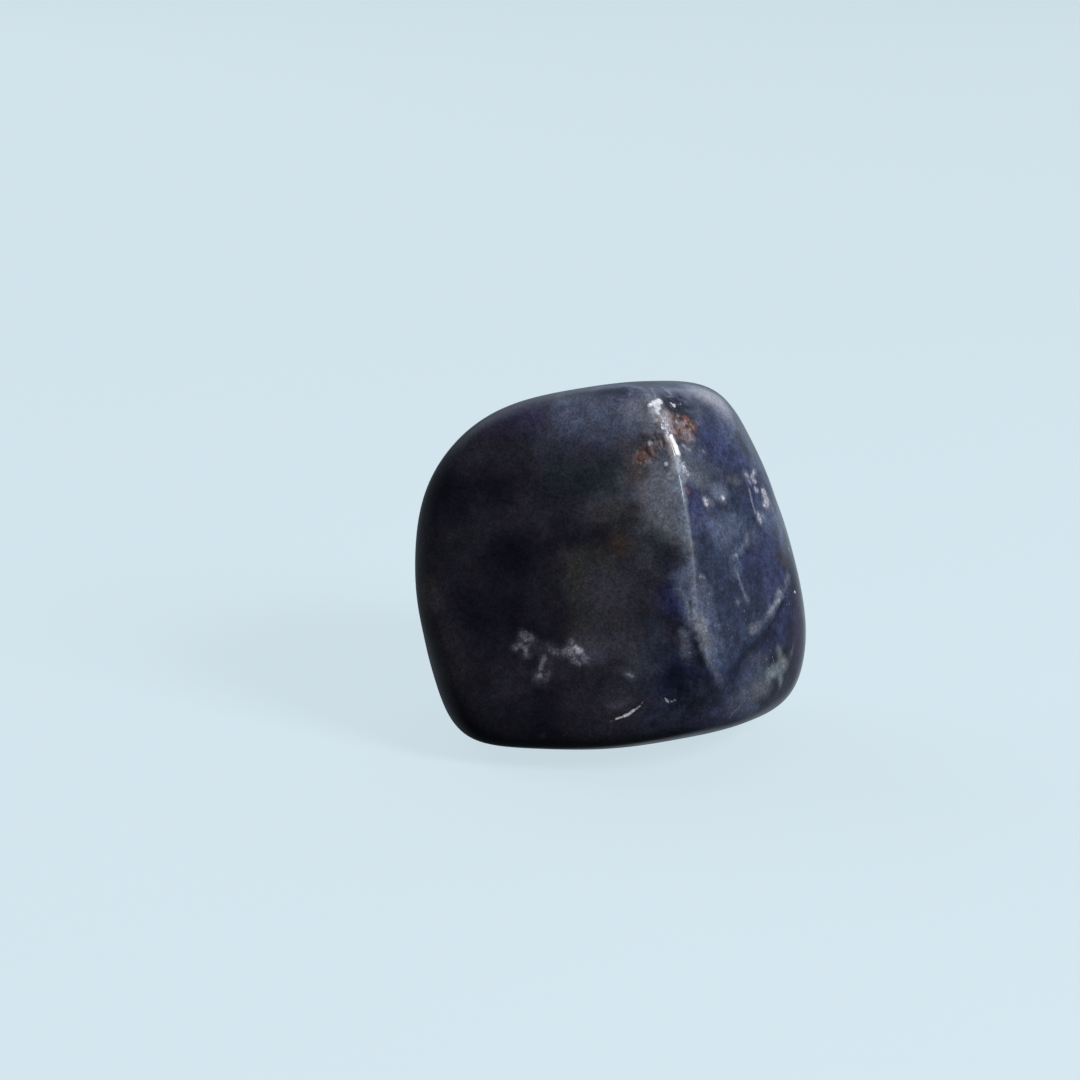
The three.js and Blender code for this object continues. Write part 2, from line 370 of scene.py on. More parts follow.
# Soft strokes, each laid over those before it: colour, strength, radius in millimetres, and path in pixels.
SEEN_STROKES = [
    # the broad face, left of the ridge
    (SLATE, 0.7, 6.0, [(480, 430), (450, 560), (520, 690)]),
    (DUSK, 0.7, 4.0, [(520, 440), (600, 450), (640, 560)]),
    (DUSK, 0.6, 4.0, [(600, 590), (600, 690)]),
    (SMOKE, 0.65, 2.3, [(560, 426), (590, 430), (620, 434)]),
    (SILVER, 0.8, 2.0, [(575, 408), (610, 410), (640, 420)]),
    (SLATE, 0.4, 1.2, [(500, 447), (520, 445)]),
    (VIOLET, 0.7, 1.4, [(495, 418), (518, 411), (530, 414)]),
    (DUSK, 0.7, 1.3, [(463, 458), (480, 442)]),
    # Near-black at the left end of the broad face: partly the stone's own dark colour and partly painted
    # shade.
    (NIGHT, 0.7, 2.0, [(436, 470), (445, 500)]),
    (INK, 0.5, 1.3, [(437, 490), (458, 493)]),
    (NIGHT, 0.9, 1.5, [(485, 486), (505, 490)]),
    (DUSK, 0.5, 1.8, [(515, 520), (545, 505)]),
    (GREY, 0.4, 0.5, [(545, 528), (546, 533)]),
    (SLATE, 0.6, 1.2, [(545, 490), (570, 492)]),
    (SILVER, 0.7, 2.2, [(655, 455), (640, 480)]),
    (CLOUD, 0.8, 2.4, [(668, 475), (655, 497), (672, 522)]),
    (CLOUD, 0.7, 1.7, [(642, 484), (627, 492)]),
    (GREY, 0.8, 1.8, [(620, 500), (600, 514)]),
    (CLOUD, 0.35, 0.7, [(661, 480), (668, 481)]),
    (TEAL, 0.85, 1.3, [(556, 472), (585, 480), (606, 478), (612, 466)]),
    (ABYSS, 0.45, 1.0, [(556, 481), (576, 484), (600, 477)]),
    (KHAKI, 0.5, 1.2, [(615, 512), (598, 520)]),
    (GREY, 0.6, 1.0, [(645, 525), (648, 535)]),
    (SLATE, 0.7, 1.0, [(560, 530), (580, 538), (608, 536), (624, 531)]),
    (SOOT, 0.8, 0.5, [(632, 507), (631, 514), (625, 522), (634, 522), (612, 531)]),
    (NIGHT, 0.6, 0.7, [(550, 546), (566, 545), (584, 541), (602, 537)]),
    (SOOT, 0.6, 1.0, [(636, 545), (644, 546)]),
    (KHAKI, 0.8, 1.1, [(572, 562), (590, 560), (604, 563)]),
    (BROWN, 0.5, 0.7, [(619, 545), (623, 552)]),
    (GREY, 0.5, 1.0, [(640, 562), (650, 570)]),
    (TEAL, 0.8, 1.1, [(657, 545), (667, 553)]),
    (NAVY, 0.5, 0.7, [(664, 557), (668, 564)]),
    (KHAKI, 0.75, 1.5, [(580, 580), (582, 605), (576, 630)]),
    (GREY, 0.9, 2.0, [(613, 595), (622, 640), (604, 658)]),
    (SOOT, 0.5, 1.2, [(600, 618), (618, 620)]),
    (DUSK, 0.6, 1.3, [(642, 585), (650, 605)]),
    (GREY, 0.7, 1.4, [(650, 645), (640, 657), (660, 662)]),
    # Near-black at the lower left of the broad face: partly the stone's own dark colour and partly painted
    # shade.
    (NIGHT, 0.9, 2.0, [(512, 552), (520, 562)]),
    (INK, 0.6, 1.4, [(500, 560), (516, 562)]),
    (NIGHT, 0.9, 2.1, [(480, 612), (510, 612), (545, 622)]),
    (SLATE, 0.8, 1.5, [(545, 590), (548, 610)]),
    (DUSK, 0.5, 1.6, [(440, 615), (448, 650)]),
    (TAUPE, 0.9, 0.9, [(427, 586), (432, 602)]),
    (TAUPE, 0.4, 1.3, [(438, 630), (450, 670)]),
    (DUSK, 0.5, 1.8, [(500, 672), (530, 690), (560, 680)]),
    (DUSK, 0.6, 2.0, [(590, 695), (620, 692)]),
    (GREY, 0.4, 1.2, [(616, 692), (628, 690)]),
    (SLATE, 0.6, 1.0, [(582, 682), (594, 680)]),
    (SLATE, 0.6, 1.2, [(600, 668), (615, 672)]),
    (GREY, 0.9, 0.9, [(636, 668), (656, 668)]),
    (PEWTER, 0.35, 0.6, [(640, 667), (657, 666)]),
    (LILAC, 0.5, 0.55, [(588, 652), (598, 656)]),
    (LILAC, 0.4, 0.6, [(522, 643), (546, 650), (546, 662), (540, 678)]),
    (LILAC, 0.8, 0.35, [(610, 707), (624, 705), (632, 700)]),
    (NIGHT, 0.8, 1.4, [(549, 700), (540, 725)]),
    (DUSK, 0.7, 2.0, [(590, 732), (650, 722)]),
    (SLATE, 0.7, 1.2, [(642, 686), (655, 700)]),
    (TEAL, 0.6, 0.9, [(652, 625), (650, 650)]),
    # Pale strokes beside the ridge: partly a pale cloud in the stone and partly a painted sheen next to the
    # ridge's highlight.
    (PALE, 0.68, 0.85, [(669, 440), (673, 465), (680, 500)]),
    (GREY, 0.4, 0.5, [(675, 496), (677, 506)]),
    (PALE, 0.5, 0.55, [(682, 508), (685, 530)]),
    (PALE, 0.25, 0.35, [(686, 540), (688, 556)]),
    (PALE, 0.7, 0.5, [(671, 478), (675, 488)]),
    (PALE, 0.6, 0.5, [(673, 472), (680, 477)]),
    (CLOUD, 0.7, 1.3, [(640, 412), (650, 403)]),
    (CLOUD, 0.8, 0.9, [(660, 415), (664, 432), (670, 452), (672, 468)]),
    # The iris and lavender band along the crown's rim: partly the stone's own colour and partly a painted
    # reflection of the light behind the stone.
    (IRIS, 0.9, 0.9, [(600, 388), (625, 389)]),
    (IRIS, 0.6, 0.8, [(640, 390), (690, 388)]),
    (LAVENDER, 0.6, 0.5, [(671, 393), (684, 393)]),
    (IRIS, 0.6, 0.4, [(676, 396), (686, 396)]),
    (LAVENDER, 0.3, 0.8, [(633, 400), (645, 398)]),
    (DUSK, 0.8, 0.5, [(570, 394), (600, 391), (622, 391)]),
    (NAVY, 0.8, 0.4, [(602, 391), (622, 390)]),
    (BROWN, 0.6, 1.2, [(640, 465), (652, 450), (662, 446)]),
    (BROWN, 0.3, 0.7, [(622, 443), (638, 443)]),
    (RUSSET, 0.95, 0.6, [(642, 459), (650, 453)]),
    # The white chip at the top of the ridge: a pale break that also carries a painted highlight.
    (SHELL, 1.0, 0.45, [(654, 412), (657, 417)]),
    (ICE, 0.6, 0.3, [(654, 413), (656, 416)]),
    (SHELL, 0.42, 0.35, [(661, 418), (664, 425), (663, 432), (668, 439)]),
    (PALE, 0.35, 0.5, [(666, 458), (672, 461)]),
    (CLOUD, 0.6, 0.6, [(652, 430), (658, 433)]),
    (CLOUD, 0.65, 0.7, [(662, 456), (670, 460), (664, 468), (651, 467)]),
    (SOOT, 0.5, 0.5, [(636, 470), (643, 471)]),
    (SOOT, 0.4, 0.6, [(636, 444), (643, 446)]),
    # Along the worn edge of the ridge: partly a pale worn edge and partly a painted highlight.
    (HIGHLIGHT_PEARL, 0.6, 0.32, [(669, 440), (673, 450), (676, 458)]),
    (ICE, 0.85, 0.35, [(678, 460), (677, 468)]),
    (ICE, 0.60, 0.35, [(676, 472), (673, 475)]),
    # the right facet
    (STEEL, 1.0, 5.0, [(725, 430), (745, 520), (750, 610), (720, 690)]),
    (BLUE, 0.8, 2.4, [(712, 430), (735, 452), (755, 480)]),
    (BLUE, 0.7, 2.0, [(770, 530), (778, 580)]),
    # The pale upper right corner: partly the stone's colour and partly a painted reflection of the light
    # behind the stone.
    (SILVER, 0.4, 1.2, [(728, 409), (743, 437), (756, 463)]),
    (HAZE, 0.6, 1.3, [(700, 400), (718, 414), (732, 430)]),
    (LAVENDER, 0.9, 1.2, [(698, 390), (710, 396), (722, 406)]),
    (SHELL, 0.35, 0.5, [(703, 399), (713, 402)]),
    (NAVY, 0.8, 0.6, [(739, 436), (748, 454)]),
    (NAVY, 0.5, 1.0, [(702, 407), (707, 413)]),
    (PEWTER, 0.5, 1.2, [(688, 444), (694, 458), (704, 472), (712, 482)]),
    (CLOUD, 0.35, 0.7, [(689, 482), (703, 481)]),
    (PEWTER, 0.6, 0.7, [(690, 465), (692, 478)]),
    (FROST, 0.7, 0.7, [(715, 490), (723, 492)]),
    (INDIGO, 0.9, 0.8, [(691, 494), (697, 500), (692, 506)]),
    (INDIGO, 0.7, 0.3, [(689, 497), (690, 505)]),
    (LAVENDER, 0.35, 0.3, [(708, 501), (712, 503)]),
    (STEEL, 0.7, 0.35, [(691, 512), (694, 535)]),
    (STEEL, 0.8, 1.3, [(733, 482), (742, 505), (748, 525)]),
    (BROWN, 0.3, 0.7, [(728, 478), (738, 481)]),
    (INDIGO, 0.5, 0.6, [(756, 498), (758, 508)]),
    (HAZE, 0.75, 1.2, [(706, 526), (718, 530), (733, 524)]),
    (HAZE, 0.3, 1.0, [(719, 538), (725, 543)]),
    (HAZE, 0.4, 0.8, [(747, 533), (754, 537)]),
    (HAZE, 0.3, 0.9, [(768, 588), (772, 592)]),
    (BLUE, 0.7, 1.0, [(699, 515), (701, 535)]),
    (STEEL, 0.8, 0.9, [(702, 542), (704, 575)]),
    (STEEL, 0.5, 0.3, [(690, 554), (691, 564)]),
    (HAZE, 0.7, 1.2, [(766, 515), (778, 520)]),
    (HAZE, 0.7, 0.7, [(781, 530), (784, 546)]),
    (STEEL, 0.8, 1.7, [(712, 568), (722, 592), (730, 600)]),
    (INDIGO, 0.5, 1.4, [(752, 565), (768, 582)]),
    (NAVY, 0.3, 0.8, [(752, 588), (757, 592)]),
    (HAZE, 0.7, 0.6, [(734, 563), (736, 570)]),
    (SILVER, 0.3, 0.25, [(736, 570), (740, 582), (744, 592), (748, 602)]),
    (HAZE, 1.0, 0.9, [(685, 572), (688, 600), (692, 612)]),
    (FROST, 0.5, 0.5, [(684, 574), (692, 590)]),
    (SLATE, 0.6, 0.7, [(668, 556), (674, 564)]),
    (HAZE, 0.75, 1.0, [(697, 596), (704, 612)]),
    (HAZE, 0.5, 0.6, [(706, 590), (711, 608), (714, 626)]),
    (FROST, 0.8, 0.8, [(699, 622), (704, 634), (708, 650)]),
    (BEIGE, 0.9, 0.5, [(700, 623), (704, 632), (706, 640)]),
    (HAZE, 0.4, 1.0, [(715, 643), (718, 658)]),
    (SMOKE, 0.5, 0.5, [(680, 636), (683, 648)]),
    (STEEL, 0.4, 1.3, [(735, 630), (740, 655)]),
    (BEIGE, 0.5, 0.4, [(751, 629), (758, 627)]),
    (INDIGO, 0.6, 1.1, [(784, 615), (776, 635)]),
    (NAVY, 0.85, 0.7, [(771, 634), (756, 648), (745, 658)]),
    (NAVY, 0.95, 0.7, [(745, 658), (736, 670), (733, 676)]),
    (HAZE, 0.2, 1.0, [(750, 668), (760, 660)]),
    (PEWTER, 0.6, 1.0, [(768, 680), (758, 688), (744, 698), (737, 706)]),
    (HAZE, 0.5, 0.7, [(742, 712), (752, 712)]),
    (BEIGE, 0.4, 0.6, [(757, 689), (765, 689)]),
    (MINT, 0.72, 0.42, [(779, 650), (781, 660)]),
    (MINT, 0.95, 0.5, [(784, 664), (777, 670), (770, 675)]),
    (MINT, 0.7, 0.32, [(780, 677), (781, 685)]),
    (NAVY, 0.6, 0.2, [(772, 680), (775, 680)]),
    (BEIGE, 0.12, 0.6, [(752, 660), (764, 660)]),
    (HAZE, 0.2, 0.8, [(785, 684), (776, 700)]),
    (VIOLET, 0.7, 1.0, [(796, 600), (798, 665)]),
    (TEAL, 0.6, 0.6, [(790, 660), (789, 680), (782, 692)]),
    (NAVY, 0.95, 1.5, [(676, 672), (684, 690)]),
    (NAVY, 0.7, 1.4, [(700, 688), (706, 696)]),
    (NAVY, 0.9, 1.0, [(708, 686), (717, 681)]),
    (ABYSS, 0.8, 1.4, [(690, 702), (712, 702), (692, 714), (704, 716)]),
    (INK, 0.35, 0.9, [(678, 676), (681, 686)]),
    (INK, 0.8, 0.35, [(695, 637), (699, 650), (702, 662)]),
    (INDIGO, 0.9, 0.8, [(668, 595), (673, 608)]),
    (VIOLET, 0.4, 1.2, [(705, 722), (735, 716)]),
    (NAVY, 0.8, 0.65, [(668, 402), (678, 402), (687, 405)]),
    (PEWTER, 0.4, 0.6, [(694, 405), (698, 409)]),
    (IRIS, 0.5, 0.3, [(680, 401), (687, 402)]),
    (BROWN, 0.4, 0.8, [(676, 422), (688, 430)]),
    (ABYSS, 0.6, 0.3, [(672, 411), (687, 413)]),
    (SHELL, 0.75, 0.45, [(668, 417), (672, 429)]),
    (SHELL, 0.6, 0.25, [(673, 433), (677, 439)]),
    (SHELL, 0.5, 0.30, [(675, 422), (681, 424)]),
    (SHELL, 0.5, 0.3, [(684, 432), (687, 438)]),
    (SHELL, 0.3, 0.3, [(689, 434), (691, 438)]),
    (PEWTER, 0.5, 0.5, [(691, 413), (697, 415)]),
    (RUSSET, 0.9, 0.4, [(687, 420), (692, 426)]),
    (VIOLET, 0.8, 0.3, [(687, 486), (689, 494)]),
    (PALE, 0.5, 0.4, [(681, 473), (683, 478)]),
    (BROWN, 0.4, 0.7, [(781, 553), (785, 562)]),
]
# The same on the sides that the camera doesn't see, with the paths as compass turns and tilts.
FAR_STROKES = [
    (STEEL, 0.9, 5.0, [(100, 10), (125, 0), (140, -20)]),
    (SLATE, 0.8, 6.0, [(160, -40), (190, 0), (215, 30), (245, 0)]),
    (DUSK, 0.8, 4.0, [(170, 35), (200, 50), (240, 50), (285, 55)]),
    (STEEL, 0.7, 3.5, [(158, 20), (180, -5), (176, -30)]),
    (SMOKE, 0.7, 3.0, [(150, 25), (170, 38), (195, 30)]),
    (PEWTER, 0.8, 2.4, [(156, 10), (172, 2), (190, 12)]),
    (HAZE, 0.6, 1.8, [(182, 34), (200, 40), (215, 36)]),
    (SMOKE, 0.7, 2.0, [(228, -18), (240, -32)]),
    (CLOUD, 0.5, 1.0, [(166, 5), (178, 6)]),
    (KHAKI, 0.8, 2.4, [(205, 15), (215, -5), (212, -22)]),
    (GREY, 0.7, 2.0, [(222, 22), (236, 6)]),
    (GREY, 0.7, 4.0, [(240, 25), (262, 5), (280, -15)]),
    (SLATE, 0.7, 2.2, [(236, -10), (250, -15), (262, -25)]),
    (SMOKE, 0.8, 2.4, [(250, 22), (275, 14), (285, -4)]),
    (PEWTER, 0.7, 1.8, [(262, 28), (276, 12)]),
    (CLOUD, 0.5, 1.0, [(256, 10), (268, 2)]),
    (PEWTER, 0.6, 1.4, [(264, -10), (278, -22)]),
    (NAVY, 0.6, 1.4, [(240, 40), (258, 44)]),
    (NIGHT, 0.6, 2.0, [(184, -22), (165, -38)]),
    (INDIGO, 0.8, 2.0, [(122, -15), (138, -30)]),
    (BLUE, 0.6, 2.2, [(148, -10), (158, 8)]),
    (HAZE, 0.7, 1.6, [(108, 20), (122, 30), (140, 32)]),
    (HAZE, 0.6, 1.6, [(112, -8), (128, 5), (146, 8)]),
    (FROST, 0.5, 0.8, [(116, 26), (128, 30)]),
    (TEAL, 0.7, 2.0, [(225, 50), (255, 62)]),
    (STEEL, 0.7, 3.5, [(100, 60), (140, 75), (0, 85)]),
    (SMOKE, 0.7, 2.6, [(200, 64), (250, 70), (310, 72)]),
    (PEWTER, 0.6, 1.8, [(150, 68), (100, 78), (40, 82)]),
    (NAVY, 0.5, 1.8, [(130, 52), (165, 58)]),
    (HAZE, 0.5, 1.4, [(330, 78), (290, 74)]),
    (GREY, 0.5, 2.0, [(60, -55), (110, -60), (160, -65)]),
    (HAZE, 0.4, 1.6, [(90, -40), (70, -45)]),
    (NAVY, 0.6, 2.4, [(200, -50), (260, -45), (300, -55)]),
    (PEWTER, 0.4, 1.4, [(200, -34), (222, -42)]),
]

# Crisp marks by family: strength, half width in millimetres, and path in pixels. The glints are painted
# highlights.
# The marks of the broken edges on the ridge are partly pale breaks and partly painted highlights, and a few
# are thin pale lines. The worn places have no colour of their own and only dull the polish.
SEEN_MARKS = {
    "vein": [
        (0.35, 0.14, [(788, 576), (783, 590)]),
        (0.90, 0.16, [(781, 593), (777, 601)]),
        (0.85, 0.16, [(775, 605), (770, 613)]),
        (0.28, 0.12, [(767, 618), (760, 625)]),
        (0.32, 0.12, [(756, 629), (752, 630)]),
        (0.22, 0.06, [(729, 479), (738, 482)]),
        (0.60, 0.06, [(747, 537), (746, 541)]),
        (0.30, 0.05, [(744, 544), (740, 551)]),
        (0.35, 0.12, [(700, 622), (707, 622)]),
        (0.35, 0.05, [(698, 638), (706, 654), (712, 668), (722, 683)]),
        (0.45, 0.06, [(679, 588), (686, 602), (690, 616)]),
        (0.30, 0.08, [(692, 560), (693, 575)]),
        (0.60, 0.08, [(693, 580), (693, 596), (694, 616)]),
        (0.32, 0.15, [(683, 632), (686, 645), (686, 660)]),
        (0.25, 0.06, [(793, 648), (790, 657), (786, 668)]),
    ],
    "fleck": [
        (0.20, 0.26, [(523, 635), (531, 638)]),
        (0.38, 0.10, [(526, 640)]),
        (0.22, 0.16, [(515, 647), (521, 645)]),
        (0.38, 0.13, [(525, 648), (527, 656)]),
        (0.27, 0.30, [(566, 652), (572, 650)]),
        (1.00, 0.17, [(575, 648), (579, 651)]),
        (0.20, 0.24, [(583, 656), (586, 660)]),
        (0.26, 0.16, [(573, 659), (578, 663)]),
        (0.26, 0.12, [(572, 641), (573, 645)]),
        (0.30, 0.12, [(550, 650), (557, 652)]),
        (0.08, 0.10, [(546, 645)]),
        (0.28, 0.12, [(544, 658), (541, 668)]),
        (0.36, 0.11, [(537, 676), (541, 675)]),
        (0.13, 0.09, [(548, 673), (545, 681)]),
        (0.38, 0.14, [(628, 674), (632, 676)]),
        (0.15, 0.06, [(542, 736)]),
        (0.85, 0.10, [(746, 474), (748, 477)]),
        (0.90, 0.12, [(754, 471), (753, 474)]),
        (0.55, 0.19, [(752, 477), (755, 481)]),
        (0.45, 0.08, [(749, 481), (751, 484)]),
        (0.15, 0.12, [(768, 496), (772, 508)]),
        (0.80, 0.10, [(755, 488), (757, 490)]),
        (0.75, 0.36, [(764, 493), (767, 502)]),
        (0.95, 0.12, [(764, 505), (765, 506)]),
        (0.90, 0.14, [(758, 515), (761, 521)]),
        (0.35, 0.12, [(763, 516)]),
        (0.90, 0.18, [(705, 500), (706, 503)]),
        (0.95, 0.18, [(723, 498)]),
        (0.35, 0.08, [(690, 450)]),
        (0.35, 0.06, [(704, 452)]),
        (0.20, 0.08, [(697, 423), (700, 423)]),
        (0.30, 0.08, [(700, 576), (704, 577)]),
        (0.30, 0.14, [(736, 555)]),
        (0.25, 0.14, [(738, 603)]),
        (0.12, 0.16, [(698, 626), (706, 630)]),
        (0.60, 0.10, [(664, 418), (668, 419)]),
        (0.90, 0.12, [(666, 428), (668, 430)]),
        (0.85, 0.17, [(683, 465), (685, 469)]),
        (0.60, 0.15, [(686, 471), (688, 474)]),
        (0.25, 0.08, [(684, 433), (687, 437)]),
        (0.40, 0.12, [(683, 445), (686, 448)]),
        (0.50, 0.05, [(670, 420), (673, 428)]),
        (0.40, 0.05, [(677, 422), (682, 424)]),
        (0.55, 0.08, [(650, 443), (654, 442)]),
        (0.55, 0.08, [(658, 442), (662, 445)]),
        (0.50, 0.12, [(789, 549)]),
    ],
    "dust": [
        (0.60, 0.25, [(745, 611), (750, 618)]),
        (0.25, 0.70, [(712, 600), (728, 632), (730, 650)]),
        (0.25, 0.60, [(785, 600), (790, 625)]),
        (0.35, 0.60, [(772, 655), (780, 668), (765, 680)]),
        (0.25, 0.80, [(748, 690), (765, 700)]),
        (0.30, 0.60, [(690, 445), (700, 460)]),
        (0.40, 0.40, [(684, 625), (688, 655)]),
    ],
    "glint": [
        # Painted highlights: tiny bright reflections on the polish. The crescent crack in the first five marks
        # is partly a pale bruise and partly a painted highlight on its lip.
        (0.60, 0.02, [(610, 722), (614, 720)]),
        (0.85, 0.06, [(616, 719), (622, 717)]),
        (1.00, 0.09, [(624, 716), (629, 714), (634, 710)]),
        (0.85, 0.05, [(636, 709), (640, 706)]),
        (0.60, 0.02, [(641, 704), (644, 701)]),
        (0.60, 0.05, [(622, 706)]),
        (0.65, 0.08, [(665, 699), (669, 702)]),
        (0.50, 0.06, [(671, 702), (675, 700)]),
        (0.08, 0.03, [(561, 729), (561, 734), (565, 736), (568, 731)]),
        (1.00, 0.09, [(794, 591), (796, 593)]),
        (1.00, 0.14, [(666, 464)]),
        (1.00, 0.11, [(671, 404), (674, 406)]),
        (0.45, 0.05, [(677, 405), (680, 405)]),
        (0.50, 0.05, [(684, 402), (686, 403)]),
        (0.35, 0.05, [(669, 397)]),
        (0.50, 0.05, [(630, 395)]),
        (0.40, 0.05, [(534, 407)]),
    ],
    "bevel_and_highlight": [
        # Breaks at the top of the ridge and along its worn edge: pale breaks that also carry a painted
        # highlight.
        (1.00, 0.10, [(649, 405), (654, 404)]),
        (1.00, 0.22, [(655, 403), (660, 401)]),
        (1.00, 0.24, [(657, 403), (658, 407)]),
        (0.80, 0.12, [(658, 409), (659, 413)]),
        (0.30, 0.03, [(651, 388), (656, 397)]),
        (1.00, 0.08, [(671, 435), (675, 443)]),
        (1.00, 0.14, [(676, 446), (678, 452)]),
        (0.40, 0.08, [(679, 455), (678, 462)]),
        (0.22, 0.09, [(749, 489), (752, 502), (755, 512)]),
        (0.10, 0.09, [(735, 567), (738, 576), (743, 590), (747, 600)]),
        (0.12, 0.05, [(741, 706), (732, 713), (730, 718)]),
    ],
    "rust": [
        (0.65, 0.22, [(670, 418), (686, 419)]),
        (0.80, 0.36, [(685, 424), (690, 426)]),
        (0.80, 0.48, [(676, 427), (683, 436)]),
        (0.80, 0.30, [(672, 424), (676, 434)]),
        (0.25, 0.40, [(645, 457), (652, 451)]),
        (0.45, 0.30, [(655, 446), (662, 443)]),
        (0.7, 0.08, [(687, 490)]),
    ],
    "dark": [
        (0.6, 0.07, [(790, 662), (785, 678), (780, 692)]),
        (0.8, 0.09, [(690, 601), (692, 617)]),
        (0.5, 0.04, [(462, 462), (470, 478), (480, 490)]),
        (0.4, 0.08, [(500, 500), (518, 505)]),
        (0.6, 0.09, [(784, 600), (776, 617), (768, 629)]),
        (0.3, 0.20, [(765, 634), (752, 648), (744, 656)]),
        (0.8, 0.12, [(695, 637), (698, 648), (702, 659)]),
        (0.4, 0.25, [(646, 438), (660, 437)]),
        (0.5, 0.20, [(678, 441), (684, 443)]),
    ],
    "worn": [
        (1.0, 0.12, [(676, 458), (680, 472), (684, 484), (688, 520), (692, 560), (694, 600)]),
        (1.0, 1.05, [(676, 417), (683, 436)]),
        (0.9, 0.60, [(671, 405), (688, 406)]),
        (0.9, 0.65, [(645, 456), (656, 446)]),
    ],
}
# The same on the sides that the camera doesn't see, with the paths as compass turns and tilts.
FAR_MARKS = {
    "vein": [
        (0.45, 0.05, [(89, 12), (96, 17)]),
        (0.60, 0.10, [(98, 19), (104, 27)]),
        (0.35, 0.04, [(105, 29), (109, 38)]),
        (0.40, 0.04, [(152, 38), (156, 24)]),
        (0.65, 0.12, [(158, 20), (166, 11)]),
        (0.40, 0.06, [(169, 8), (174, -4)]),
        (0.60, 0.10, [(175, -8), (174, -16)]),
        (0.30, 0.04, [(173, -20), (169, -30)]),
        (0.35, 0.04, [(172, 7), (186, 5), (194, 0)]),
        (0.30, 0.05, [(200, -5), (212, -9)]),
        (0.35, 0.05, [(240, 30), (252, 20)]),
        (0.55, 0.09, [(254, 17), (259, 9)]),
        (0.45, 0.06, [(261, 5), (263, -4), (270, -14)]),
        (0.30, 0.04, [(262, 4), (274, 8), (284, 6)]),
        (0.40, 0.06, [(60, 76), (110, 68)]),
    ],
    "fleck": [
        (0.90, 0.30, [(196, 28)]),
        (0.80, 0.24, [(200, 25)]),
        (0.70, 0.14, [(203, 30)]),
        (0.60, 0.12, [(193, 21)]),
        (0.50, 0.10, [(207, 26)]),
        (0.80, 0.18, [(118, 0)]),
        (0.70, 0.14, [(121, 4)]),
        (0.50, 0.10, [(126, -4)]),
        (0.80, 0.20, [(243, -12)]),
        (0.70, 0.14, [(247, -9)]),
        (0.50, 0.10, [(249, -14)]),
        (0.70, 0.20, [(150, 66)]),
        (0.60, 0.14, [(158, 68)]),
        (0.60, 0.12, [(272, 30)]),
    ],
    "dust": [
        (0.25, 0.60, [(114, 12), (128, 22)]),
        (0.25, 0.60, [(180, 14), (190, 25)]),
    ],
    "glint": [
        # Painted highlights: tiny bright reflections on the polish.
        (0.80, 0.07, [(160, 0)]),
        (0.60, 0.06, [(225, 14)]),
    ],
    "rust": [
        (0.70, 0.22, [(218, -24), (221, -26)]),
        (0.60, 0.20, [(134, 22), (136, 19)]),
    ],
    "dark": [
        (0.50, 0.05, [(185, -30), (196, -18), (203, -4)]),
        (0.50, 0.04, [(110, -25), (118, -12)]),
    ],
}
FAR_AWAY = 5.0  # the distance, in millimetres, that is kept where no mark is near
FAR_WANDER = 0.5  # how far the marks on the far sides stray from their paths, in millimetres

# The noises that push the strokes about: wavelength in millimetres, seed, and share.
STROKE_WANDERS = [(2.2, 1, 1.0), (0.9, 2, 0.6), (0.45, 5, 0.4)]
STROKE_WANDER = 0.22  # how far they push, as a share of the stroke's radius
STROKE_FADE = (1.5, 0.25)  # where a stroke begins and where it is in full, in radii from its path
STROKE_PATCHINESS = 0.25  # how much patches of noise widen or narrow it, in radii


def paint_clouds(mesh, tree):
    """The body colour of the stone at each point of the skin."""
    points = points_of(mesh)
    wander = sum(share * wander_of(points, wavelength, seed) for wavelength, seed, share in STROKE_WANDERS)
    slow = smoothstep(-0.4, 0.4, cloudiness_of(points, wavelength=7.0, octaves=3, seed=3))[:, None]
    patchy = cloudiness_of(points, wavelength=1.8, octaves=5, seed=4)
    colour = (1 - slow) * np.array(NIGHT) + slow * np.array(SLATE)
    for locate, strokes in ((on_far_side, FAR_STROKES), (on_seen_side, SEEN_STROKES)):
        for paint, strength, radius, corners in strokes:
            wandered = points + wander * (STROKE_WANDER * radius * MM)
            away = nearest_on_path(wandered, laid_on_skin(tree, locate, corners))[1] / (radius * MM)
            share = strength * smoothstep(*STROKE_FADE, away - STROKE_PATCHINESS * patchy)
            colour += share[:, None] * (np.array(paint) - colour)
    attribute = mesh.attributes.new("body_colour", "FLOAT_COLOR", "POINT")
    attribute.data.foreach_set("color", np.c_[colour, np.ones(len(colour))].astype(np.float32).ravel())


def lay_crisp_marks(mesh, tree):
    """For each family, the gap in millimetres to the edge of its nearest mark, and that mark's strength."""
    points = points_of(mesh)
    wandered = points + wander_of(points, 2.0, 6) * (FAR_WANDER * MM)
    for name, seen_marks in SEEN_MARKS.items():
        gap = np.full(len(points), FAR_AWAY)
        strength_there = np.zeros(len(points))
        far_marks = FAR_MARKS.get(name, [])
        sides = ((on_seen_side, points, seen_marks), (on_far_side, wandered, far_marks))
        for locate, places, marks in sides:
            for strength, half_width, corners in marks:
                reach = nearest_on_path(places, laid_on_skin(tree, locate, corners))[1]
                to_edge = reach / MM - half_width
                closer = to_edge < gap
                gap[closer] = to_edge[closer]
                strength_there[closer] = strength
        for label, values in ((name + "_gap", gap), (name + "_strength", strength_there)):
            attribute = mesh.attributes.new(label, "FLOAT", "POINT")
            attribute.data.foreach_set("value", values.astype(np.float32))


# ---------------------------------------------------------------- the stone's material

CRACK_COLOUR = INK
VEIN_COLOUR = (0.38, 0.43, 0.54)
FLECK_COLOUR = (0.78, 0.79, 0.90)
HALO_COLOUR = (0.30, 0.31, 0.42)
DUST_COLOUR = (0.55, 0.58, 0.68)
